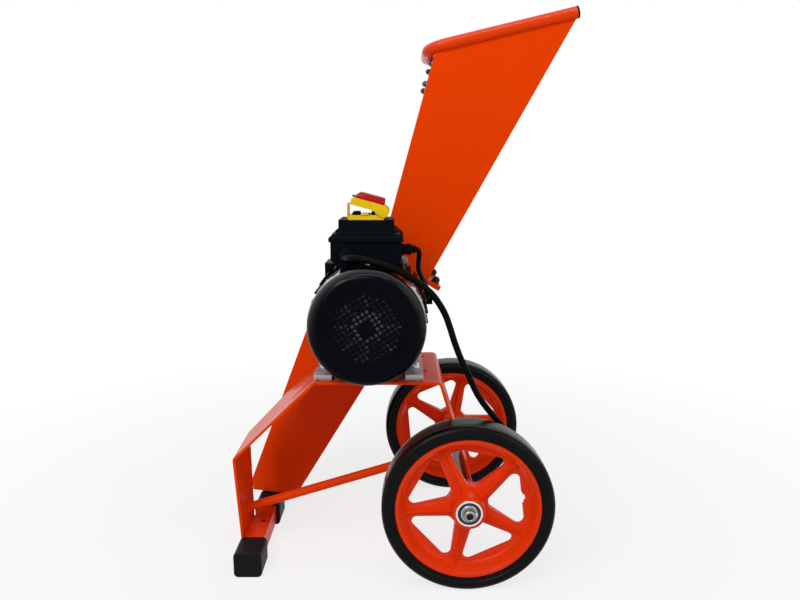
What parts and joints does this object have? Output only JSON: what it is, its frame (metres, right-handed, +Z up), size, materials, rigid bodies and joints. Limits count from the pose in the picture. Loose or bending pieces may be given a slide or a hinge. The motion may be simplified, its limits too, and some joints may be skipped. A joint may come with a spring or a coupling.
{
  "type": "garden shredder",
  "caption": "Compact electric wood chipper: motor on a bent plate stand with wheels, drum rotor housing, tall slanted hopper with tube handle, and a discharge chute.",
  "frame": {"origin": "middle of the machine's outline, on the floor", "axes": "+X towards the wheels, +Y from the motor's fan towards the rotor housing, +Z up"},
  "size_m": [0.555, 0.43, 0.8736],
  "materials": {
    "orange_paint": "gloss powder coat",
    "orange_plastic": "moulded",
    "tyre_rubber": "smooth tread",
    "black_rubber": "matt",
    "black_plastic": "fine grain",
    "black_paint": "satin black",
    "bare_alloy": "cast and milled",
    "zinc_steel": "zinc plated",
    "black_steel": "black oxide",
    "lamination": "stamped",
    "copper_winding": "lacquered",
    "rotor_steel": "turned",
    "yellow_plastic": "moulded",
    "red_plastic": "moulded",
    "green_plastic": "moulded"
  },
  "bodies": {
    "chassis": {"frame_plate": "orange_paint", "foot_bar": "orange_paint", "near_foot": "black_rubber", "far_foot": "black_rubber", "brace_tube": "orange_paint", "axle": "zinc_steel", "axle_washers": "zinc_steel", "circlips": "zinc_steel", "motor_body": "black_paint", "motor_feet": "bare_alloy", "foot_bolts": "zinc_steel", "fan_shield": "black_paint", "drive_flange": "bare_alloy", "flange_screws": "zinc_steel", "stator_core": "lamination", "stator_winding": "copper_winding", "fan_cowl": "black_paint", "cowl_screws": "zinc_steel", "shaft_bearings": "zinc_steel", "switch_box": "black_plastic", "box_lid": "black_plastic", "lid_screws": "zinc_steel", "capacitor": "bare_alloy", "cord_gland": "black_rubber", "cable_gland": "black_rubber", "interlock_cable": "black_rubber", "interlock_switch": "black_plastic", "switch_base": "yellow_plastic", "flap_pin": "zinc_steel", "rotor_housing": "orange_paint", "housing_cover": "orange_paint", "cover_bolts": "zinc_steel", "anvil": "zinc_steel", "hopper": "orange_paint", "hopper_bolts": "black_steel", "handle_tube": "orange_paint", "tube_caps": "black_plastic", "flap_clamp": "zinc_steel", "flap_bolts": "black_steel", "chute": "orange_paint", "mains_cord": "black_rubber", "mains_plug": "black_rubber"},
    "near_wheel": {"near_tyre": "tyre_rubber", "near_rim": "orange_plastic", "near_bearings": "zinc_steel"},
    "far_wheel": {"far_tyre": "tyre_rubber", "far_rim": "orange_plastic", "far_bearings": "zinc_steel"},
    "spindle": {"motor_shaft": "zinc_steel", "rotor_core": "lamination", "cooling_fan": "black_plastic", "chip_rotor": "rotor_steel", "blades": "zinc_steel", "blade_bolts": "zinc_steel", "rotor_bolt": "zinc_steel"},
    "switch_flap": {"stop_flap": "yellow_plastic", "stop_pad": "red_plastic"},
    "start_key": {"start_button": "green_plastic"},
    "stop_key": {"stop_button": "red_plastic"},
    "hopper_curtain": {"rubber_flap": "black_rubber"}
  },
  "joints": [
    {"name": "near_wheel_roll", "type": "hinge", "parent": "chassis", "child": "near_wheel", "pos_m": [0.088, -0.172, 0.127], "axis": [0, 1, 0], "continuous": true},
    {"name": "far_wheel_roll", "type": "hinge", "parent": "chassis", "child": "far_wheel", "pos_m": [0.088, 0.172, 0.127], "axis": [0, 1, 0], "continuous": true},
    {"name": "spindle_turn", "type": "hinge", "parent": "chassis", "child": "spindle", "pos_m": [-0.0585, 0, 0.394], "axis": [0, 1, 0], "continuous": true},
    {"name": "stop_flap_lift", "type": "hinge", "parent": "chassis", "child": "switch_flap", "pos_m": [-0.0365, -0.0675, 0.5515], "axis": [0, 1, 0], "range_deg": [-14, 95]},
    {"name": "start_press", "type": "slide", "parent": "chassis", "child": "start_key", "axis": [0, 0, -1], "range_m": [0, 0.003], "stiffness_N_per_m": 300},
    {"name": "stop_press", "type": "slide", "parent": "chassis", "child": "stop_key", "axis": [0, 0, -1], "range_m": [0, 0.003], "stiffness_N_per_m": 300},
    {"name": "curtain_swing", "type": "hinge", "parent": "chassis", "child": "hopper_curtain", "pos_m": [0.0319, 0.112, 0.73173], "axis": [0, -1, 0], "range_deg": [-13, 34]}
  ]
}
